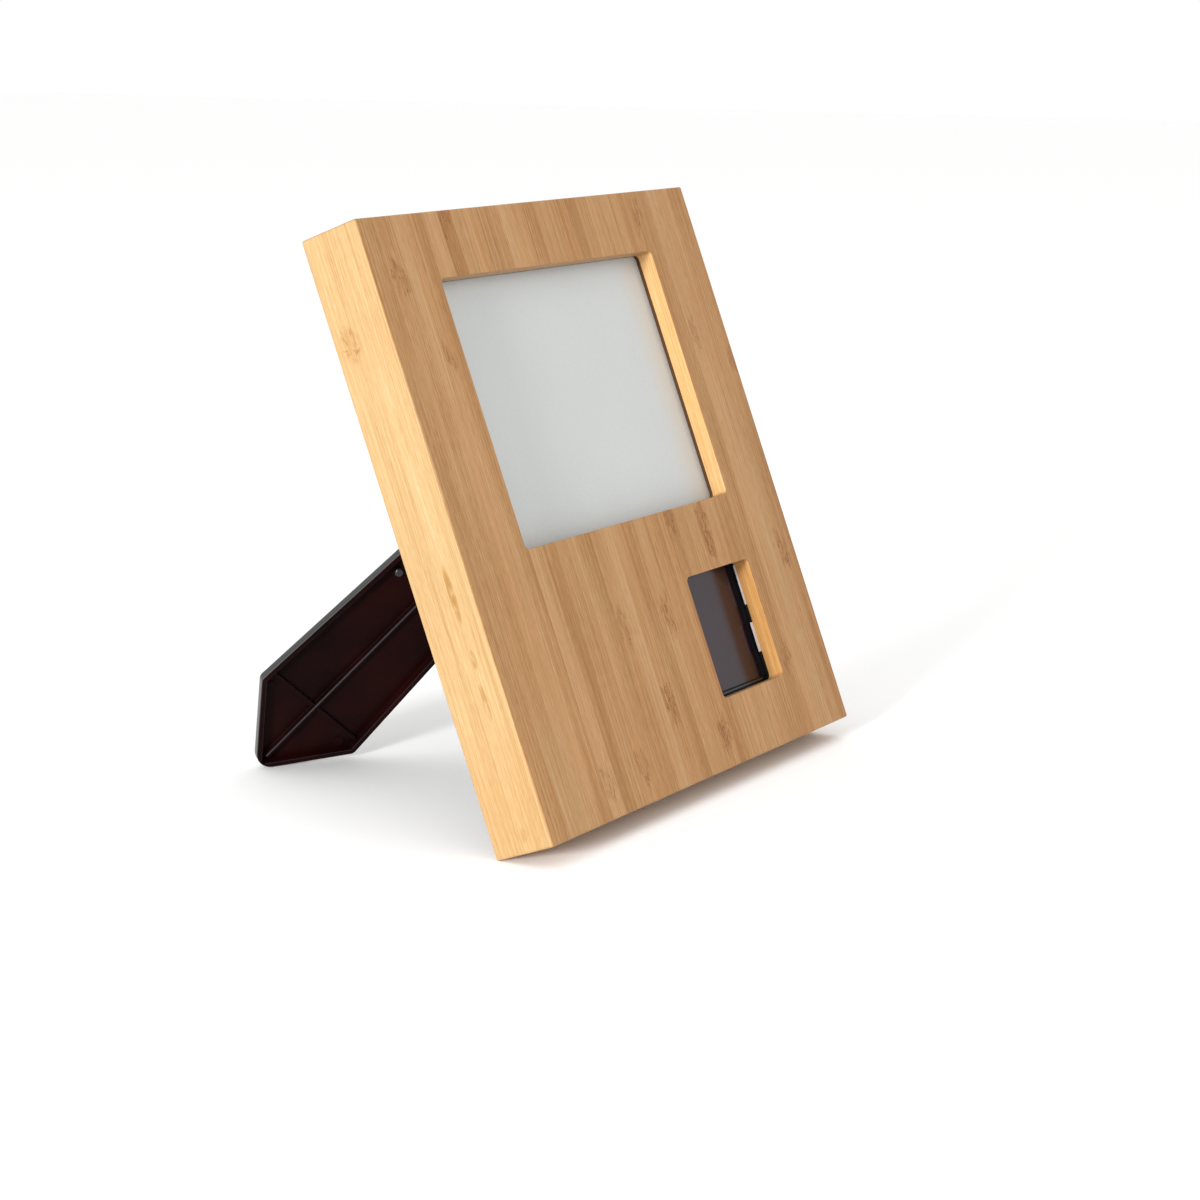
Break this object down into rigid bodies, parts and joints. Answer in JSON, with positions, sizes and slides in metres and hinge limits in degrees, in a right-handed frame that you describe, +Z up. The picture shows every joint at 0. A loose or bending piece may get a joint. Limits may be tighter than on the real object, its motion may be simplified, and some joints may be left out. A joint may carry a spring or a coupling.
{
  "type": "digital photo frame",
  "caption": "Bamboo block digital photo frame with a landscape picture screen, a small dark status screen, rear buttons and sockets, and a two-way folding strut on a diagonal hinge",
  "frame": {"origin": "middle of the footprint's bounding box, on the surface the frame stands on", "axes": "+X across the frame to the viewer's right, +Y horizontally from the front to the back, +Z up"},
  "size_m": [0.2, 0.1576, 0.2006],
  "materials": {
    "bamboo": "satin lacquered laminated bamboo",
    "screen_face": "satin pale grey panel face",
    "status_face": "glossy dark smoked glass",
    "black_plastic": "moulded black plastic, glossy",
    "matte_black": "moulded black plastic, fine texture",
    "foam": "black closed-cell foam",
    "sheet_metal": "bright pressed sheet",
    "steel": "zinc-plated steel",
    "white_plastic": "white diffusing plastic",
    "board_green": "green solder mask",
    "chip_black": "moulded epoxy",
    "flex_amber": "amber flexible circuit",
    "battery_wrap": "silver-grey pouch film",
    "wire_red": "soft insulation"
  },
  "bodies": {
    "root": {"bamboo_frame": "bamboo", "screen_gasket": "foam", "picture_screen": "screen_face", "light_guide": "white_plastic", "screen_tray": "sheet_metal", "screen_clips": "steel", "clip_screws": "steel", "screen_cable": "flex_amber", "screen_connector": "white_plastic", "status_metal_frame": "sheet_metal", "status_bezel": "black_plastic", "status_glass": "status_face", "status_diffuser": "white_plastic", "status_board": "board_green", "status_driver": "chip_black", "status_screws": "steel", "status_cable": "flex_amber", "main_board": "board_green", "main_chips": "chip_black", "card_socket": "sheet_metal", "usb_socket": "sheet_metal", "board_screws": "steel", "battery_pack": "battery_wrap", "battery_tape": "foam", "battery_wires": "wire_red", "battery_connector": "white_plastic", "button_board": "board_green", "button_cable": "flex_amber", "tact_switches": "chip_black", "power_housing": "sheet_metal", "back_cover": "matte_black", "cover_screws": "steel", "hanger_plates": "steel", "hanger_screws": "steel", "hinge_bracket": "matte_black", "hinge_backing": "steel", "hinge_screws": "steel", "hinge_pin": "steel"},
    "strut_arm": {"strut": "black_plastic"},
    "power_slider": {"power_knob": "black_plastic", "power_lever": "chip_black"},
    "button_menu": {"key_menu": "matte_black", "plunger_menu": "chip_black"},
    "button_previous": {"key_previous": "matte_black", "plunger_previous": "chip_black"},
    "button_next": {"key_next": "matte_black", "plunger_next": "chip_black"},
    "button_play": {"key_play": "matte_black", "plunger_play": "chip_black"}
  },
  "joints": [
    {"name": "strut_hinge", "type": "hinge", "parent": "root", "child": "strut_arm", "pos_m": [0.0222, -0.00778, 0.11505], "axis": [-0.7071, 0.2546, 0.6597], "range_deg": [0, 49.4]},
    {"name": "press_menu", "type": "slide", "parent": "root", "child": "button_menu", "axis": [0, -0.933, 0.36], "range_m": [0, 0.0005], "stiffness_N_per_m": 300, "springref_m": -0.0004},
    {"name": "press_previous", "type": "slide", "parent": "root", "child": "button_previous", "axis": [0, -0.933, 0.36], "range_m": [0, 0.0005], "stiffness_N_per_m": 300, "springref_m": -0.0004},
    {"name": "press_next", "type": "slide", "parent": "root", "child": "button_next", "axis": [0, -0.933, 0.36], "range_m": [0, 0.0005], "stiffness_N_per_m": 300, "springref_m": -0.0004},
    {"name": "press_play", "type": "slide", "parent": "root", "child": "button_play", "axis": [0, -0.933, 0.36], "range_m": [0, 0.0005], "stiffness_N_per_m": 300, "springref_m": -0.0004},
    {"name": "power_slide", "type": "slide", "parent": "root", "child": "power_slider", "axis": [1, 0, 0], "range_m": [0, 0.003]}
  ]
}
